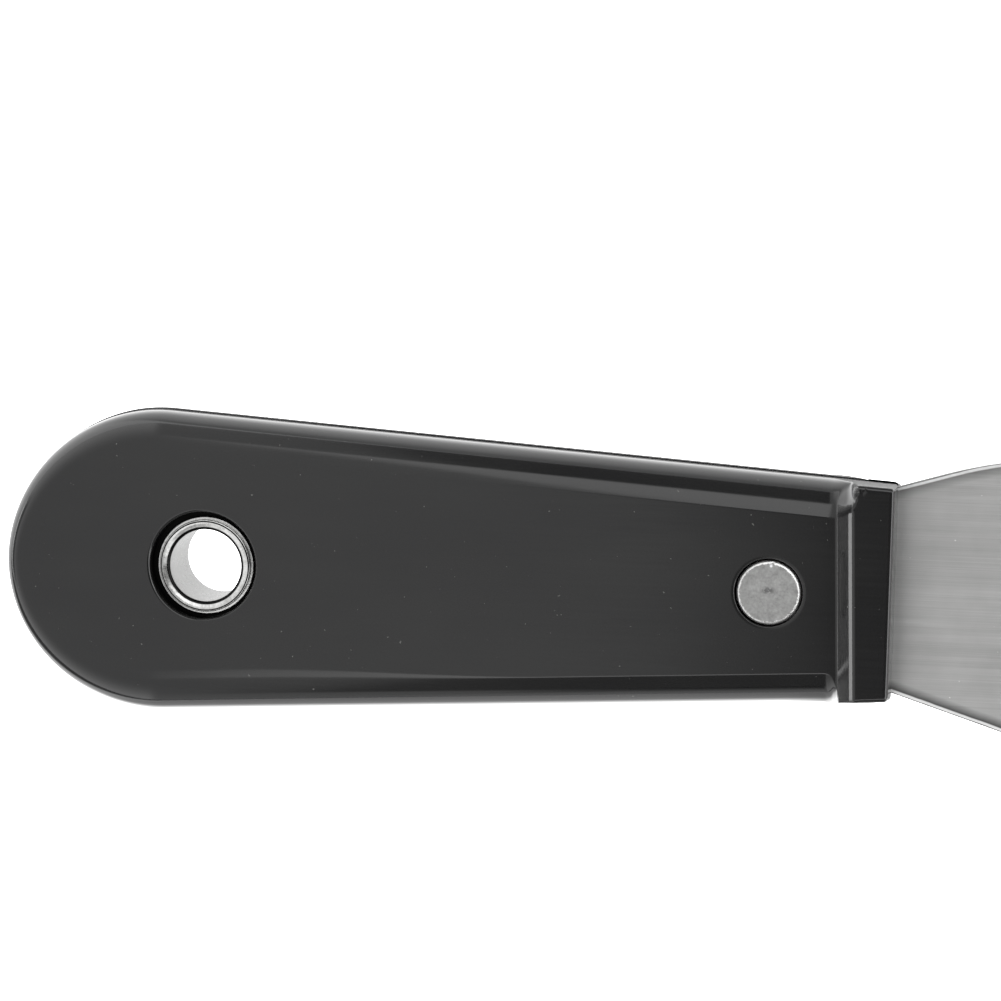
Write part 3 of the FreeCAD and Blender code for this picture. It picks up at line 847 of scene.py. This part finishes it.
def make_dull_steel(name):
    """Tumbled rivet steel with blotches and tiny dents."""
    nodes = Nodes(name)
    nodes.set(Metallic=1.0)
    blotch = nodes.noise(nodes.place(), 0.9, 5.0, 0.65)
    grit = nodes.noise(nodes.place(), 7.0, 3.0)
    fine = nodes.noise(nodes.place(), 3.2, 4.0, 0.6)
    tone = nodes.blend((blotch, 0.55), (fine, 0.45))
    colour = nodes.mix_colour(nodes.remap(tone, 0.36, 0.64, 0, 1), (0.27, 0.27, 0.265),
                              (0.43, 0.43, 0.425))
    x, y, _ = nodes.axes(nodes.place())
    x = nodes.math("SUBTRACT", x, RIVET_X)
    y = nodes.math("SUBTRACT", y, RIVET_HEAD_OFFSET.y)
    out = nodes.length(x, y)
    # Lighter colour on the head's rounded rim.
    rim_reach = nodes.math("ADD", out, nodes.remap(fine, 0.3, 0.7, -0.1, 0.1))
    colour = nodes.mix_colour(nodes.remap(rim_reach, 3.24, 3.38, 0, 1), colour, (0.92, 0.92, 0.91))
    nick = nodes.length(nodes.math("SUBTRACT", x, 0.2), nodes.math("SUBTRACT", y, 3.08))
    colour = nodes.mix_colour(nodes.remap(nick, 0.12, 0.2, 1, 0), colour, (0.95, 0.95, 0.95))
    mark_x = nodes.math("DIVIDE", nodes.math("ADD", x, 0.05), 0.95)
    mark_y = nodes.math("DIVIDE", nodes.math("SUBTRACT", y, 0.3), 0.5)
    mark = nodes.remap(nodes.length(mark_x, mark_y), 0.4, 1.1, 0.75, 0.0)
    mark = nodes.math("MULTIPLY", mark, nodes.remap(fine, 0.40, 0.52, 0, 1))
    colour = nodes.mix_colour(mark, colour, (0.10, 0.10, 0.10))
    nodes.join(colour, nodes.shader.inputs["Base Color"])
    nodes.join(nodes.remap(blotch, 0.3, 0.7, 0.38, 0.5), nodes.shader.inputs["Roughness"])
    nodes.bump(grit, 0.006)
    return nodes.material


def make_plating(name, painted_shade):
    """Bright plating with tooling marks and, if asked, painted shade on the bore wall, in the
    crease at the throat and in the flange's groove.
    """
    nodes = Nodes(name)
    nodes.set(Metallic=1.0)
    blotch = nodes.noise(nodes.place(), 1.1, 5.0, 0.65)
    grit = nodes.noise(nodes.place(), 4.5, 3.0)
    tone = nodes.blend((blotch, 0.6), (grit, 0.4))
    colour = nodes.mix_colour(nodes.remap(tone, 0.38, 0.62, 0, 1), (0.50, 0.50, 0.49),
                              (0.78, 0.78, 0.77))
    if painted_shade:
        x, y, _ = nodes.axes(nodes.place())
        out = nodes.length(x, y)
        # Painted shade: a darker bore wall, and dark rings in the crease at the throat and in the
        # flange's groove.
        wall = nodes.remap(out, BORE_RADIUS + 0.01, BORE_RADIUS + 0.03, 0.55, 0.0)
        colour = nodes.mix_colour(wall, colour, (0.16, 0.16, 0.16))
        throat = nodes.math("ABSOLUTE", nodes.math("SUBTRACT", out, BORE_RADIUS + 0.18))
        throat = nodes.remap(throat, 0.14, 0.19, 1, 0)
        groove = nodes.math("SUBTRACT", out, eyelet_high.x - GROOVE_IN)
        groove = nodes.remap(nodes.math("ABSOLUTE", groove), 0.065, 0.095, 0.97, 0)
        ring = nodes.math("MAXIMUM", throat, groove)
        colour = nodes.mix_colour(ring, colour, (0.012, 0.012, 0.012))
    nodes.join(colour, nodes.shader.inputs["Base Color"])
    nodes.join(nodes.remap(blotch, 0.3, 0.7, 0.24, 0.36), nodes.shader.inputs["Roughness"])
    nodes.bump(grit, 0.008)
    return nodes.material


# ---------------------------------------------------------------------------
# Stage and light
# ---------------------------------------------------------------------------

def make_floor():
    """Pale table: seen white by the camera; for reflections it glows, most strongly close to the
    knife.
    """
    half = 1.6
    mesh = bpy.data.meshes.new("floor")
    z = cad_low[2] - 0.05 * MM
    corners = [(-half, -half, z), (half, -half, z), (half, half, z), (-half, half, z)]
    mesh.from_pydata(corners, [], [(0, 1, 2, 3)])
    floor = bpy.data.objects.new("floor", mesh)
    bpy.context.scene.collection.objects.link(floor)
    nodes = Nodes("floor_white")
    nodes.set(Roughness=0.9, Specular_IOR_Level=0.0)
    nodes.set(Emission_Color=(1, 1, 1, 1))
    x, y, _ = nodes.axes(nodes.place())
    # Distance away from the handle's outline in plan.
    across = nodes.math("MULTIPLY", nodes.math("ABSOLUTE", y), math.cos(SIDE_TAPER))
    along = nodes.math("MULTIPLY", x, math.sin(SIDE_TAPER))
    beside = nodes.math("SUBTRACT", nodes.math("ADD", across, along), BESIDE_LINE)
    from_butt = nodes.math("SUBTRACT", x, BUTT_CENTRE_X)
    round_butt = nodes.math("SUBTRACT", nodes.length(from_butt, y), BUTT_RADIUS)
    straight = nodes.math("GREATER_THAN", x, side_start()[0])
    away = nodes.choose(straight, beside, round_butt)
    upper = nodes.math("ADD", nodes.remap(away, 3.0, 12.0, 1.3, 0.0),
                       nodes.remap(away, 10.0, 70.0, 1.15, 0.1))
    lower = nodes.math("MULTIPLY", nodes.remap(away, 11.0, 24.0, LOWER_POOL_LEVEL, 0.8),
                       nodes.remap(x, 66.0, 71.0, 1.0, 0.35))
    level = nodes.choose(nodes.math("GREATER_THAN", y, 0.0), upper, lower)
    behind = nodes.remap(x, -30.0, -22.0, 1.0, 0.0)
    # The guard's slope picks up the table far behind the butt, which is painted dark and glows
    # less on the -Y side.
    far_low = nodes.math("MULTIPLY", nodes.remap(x, -50.0, -38.0, 0.94, 0.0),
                         nodes.remap(y, -22.0, -15.0, 1.0, 0.0))
    behind_level = nodes.math("MULTIPLY", nodes.math("SUBTRACT", 1.0, far_low), BEHIND_LEVEL)
    colour = nodes.mix_colour(far_low, (0.8, 0.8, 0.8), (0.1, 0.1, 0.1))
    nodes.join(colour, nodes.shader.inputs["Base Color"])
    level = nodes.choose(behind, behind_level, level)
    # Painted contact shadow: no glow in the zone round the knife; glowing again under the hanging
    # hole.
    level = nodes.math("MULTIPLY", level, nodes.remap(away, 2.3, 3.4, 0.0, 1.0))
    level = nodes.math("ADD", level, nodes.remap(away, -6.0, -4.0, BORE_LEVEL, 0.0))
    path = nodes.tree.nodes.new("ShaderNodeLightPath")
    seen = nodes.math("MULTIPLY", path.outputs["Is Camera Ray"], FLOOR_SEEN)
    nodes.join(nodes.math("MAXIMUM", level, seen), nodes.shader.inputs["Emission Strength"])
    mesh.materials.append(nodes.material)


def make_world():
    """A white card behind the butt, a soft light along +Y and dark gaps between them."""
    world = bpy.data.worlds.new("studio")
    bpy.context.scene.world = world
    world.use_nodes = True
    tree = world.node_tree
    tree.nodes.clear()
    out = tree.nodes.new("ShaderNodeOutputWorld")
    background = tree.nodes.new("ShaderNodeBackground")
    tree.links.new(background.outputs["Background"], out.inputs["Surface"])
    coordinates = tree.nodes.new("ShaderNodeTexCoord")
    split = tree.nodes.new("ShaderNodeSeparateXYZ")
    tree.links.new(coordinates.outputs["Generated"], split.inputs["Vector"])

    def calc(kind, a, b=0.0):
        node = tree.nodes.new("ShaderNodeMath")
        node.operation = kind
        for socket, value in zip(node.inputs, (a, b)):
            if isinstance(value, (int, float)):
                socket.default_value = value
            else:
                tree.links.new(value, socket)
        return node.outputs[0]

    def ramp(value, low, high, new_low=0.0, new_high=1.0):
        node = tree.nodes.new("ShaderNodeMapRange")
        node.interpolation_type = "SMOOTHSTEP"
        node.inputs["From Min"].default_value = low
        node.inputs["From Max"].default_value = high
        node.inputs["To Min"].default_value = new_low
        node.inputs["To Max"].default_value = new_high
        tree.links.new(value, node.inputs["Value"])
        return node.outputs["Result"]

    x, y, z = (split.outputs[axis] for axis in "XYZ")
    tilt_y = calc("MULTIPLY", calc("ARCTAN2", y, z), 180 / math.pi)
    tilt_x = calc("MULTIPLY", calc("ARCTAN2", x, z), 180 / math.pi)
    # The card: everything well towards -X, about as bright as the flat grip face needs.
    card = ramp(x, -0.11, -0.075, CARD_LEVEL, 0.0)
    near_card = ramp(x, -0.085, -0.06, 0.5, 0.1)
    card = calc("MAXIMUM", card, near_card)
    # Away from the card: a soft light along +Y, whose near edge slants, and a strip along -Y.
    near_edge = calc("MULTIPLY", calc("ADD", x, 0.08), -420.0)
    near_edge = calc("MAXIMUM", calc("ADD", near_edge, 14.0), 14.0)
    past_edge = calc("SUBTRACT", tilt_y, near_edge)
    soft_light = calc("MULTIPLY", ramp(past_edge, 0.0, 4.0, 0.0, SOFT_LIGHT_LEVEL),
                      ramp(tilt_y, 51.0, 57.0, 1.0, 0.0))
    strip = calc("MULTIPLY", ramp(tilt_y, -14.0, -17.0), ramp(tilt_y, -30.0, -27.0))
    strip = calc("MULTIPLY", calc("MULTIPLY", strip, STRIP_LEVEL), ramp(x, -0.24, -0.18))
    # Dark gaps on both sides, in front of the card.
    gap_plus = calc("MULTIPLY", ramp(tilt_y, 52.0, 56.0), ramp(x, -0.135, -0.115))
    gap_minus = calc("MULTIPLY", ramp(tilt_y, -30.0, -34.0), ramp(tilt_y, -74.0, -66.0))
    gap_minus = calc("MULTIPLY", gap_minus, ramp(x, -0.17, -0.15))
    gap = calc("MAXIMUM", gap_plus, gap_minus)
    low_minus = calc("MULTIPLY", ramp(tilt_y, -70.0, -86.0, 0.0, 1.15), ramp(x, -0.3, -0.1))
    low_boost = calc("MULTIPLY", ramp(z, 0.8, 0.05), ramp(x, -0.19, -0.26))
    card = calc("MULTIPLY", card, calc("ADD", 1.0, low_boost))
    level = calc("MULTIPLY", card, calc("SUBTRACT", 1.0, gap))
    level = calc("MAXIMUM", level, calc("MULTIPLY", gap, 0.2))
    level = calc("MAXIMUM", level, soft_light)
    level = calc("MAXIMUM", level, strip)
    level = calc("MAXIMUM", level, low_minus)
    # Behind the butt: a dark gap and a bright horizon, which only the guard's slope picks up.
    straight_back = ramp(calc("ABSOLUTE", y), 0.35, 0.2)
    low_gap = calc("MULTIPLY", ramp(tilt_x, -70.0, -74.0, 0.0, 0.72), straight_back)
    level = calc("MULTIPLY", level, calc("SUBTRACT", 1.0, low_gap))
    horizon = calc("MULTIPLY", ramp(tilt_x, -85.0, -87.5, 0.0, HORIZON_LEVEL), straight_back)
    level = calc("MAXIMUM", level, horizon)
    # A light beyond the blade catches the front edge, the rivet and the seat's lip.
    front = calc("MULTIPLY", ramp(tilt_x, 50.0, 56.0), ramp(tilt_x, 84.0, 78.0, 0.0, FRONT_LEVEL))
    level = calc("MAXIMUM", level, calc("MULTIPLY", front, ramp(calc("ABSOLUTE", y), 0.5, 0.4)))
    path = tree.nodes.new("ShaderNodeLightPath")
    seen = calc("MULTIPLY", path.outputs["Is Camera Ray"], WORLD_SEEN)
    level = calc("MAXIMUM", level, seen)
    tree.links.new(level, background.inputs["Strength"])
    background.inputs["Color"].default_value = (1, 1, 1, 1)
    world.cycles.sampling_method = "MANUAL"
    world.cycles.sample_map_resolution = 1024


make_camera()
make_world()
make_floor()
bpy.context.scene.view_settings.view_transform = "Standard"

plastic = make_plastic()
blade_steel = make_brushed_steel("blade_steel")
rivet_steel = make_dull_steel("rivet_steel")
plating = make_plating("eyelet_plating", True)
washer_plating = make_plating("washer_plating", False)

sleeve_piece, pin_piece = rivet_pieces(rivet_steel)
pieces = [
    (handle_half("upper_half", False), "upper_handle_half", "handle_plastic"),
    (handle_half("lower_half", True), "lower_handle_half", "handle_plastic"),
    (eyelet_piece(plating), "hang_hole_eyelet", "eyelet_plating"),
    (washer_piece("upper_washer", 1, washer_plating), "upper_eyelet_washer", "washer_plating"),
    (washer_piece("lower_washer", -1, washer_plating), "lower_eyelet_washer", "washer_plating"),
    (sleeve_piece, "rivet_sleeve", "rivet_steel"),
    (pin_piece, "rivet_pin", "rivet_steel"),
]
for piece, node, slot in pieces:
    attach(piece, "root")
    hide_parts(node)

blade = frame["nodes"]["blade"]
for index in range(len(blade.data.materials)):
    blade.data.materials[index] = blade_steel
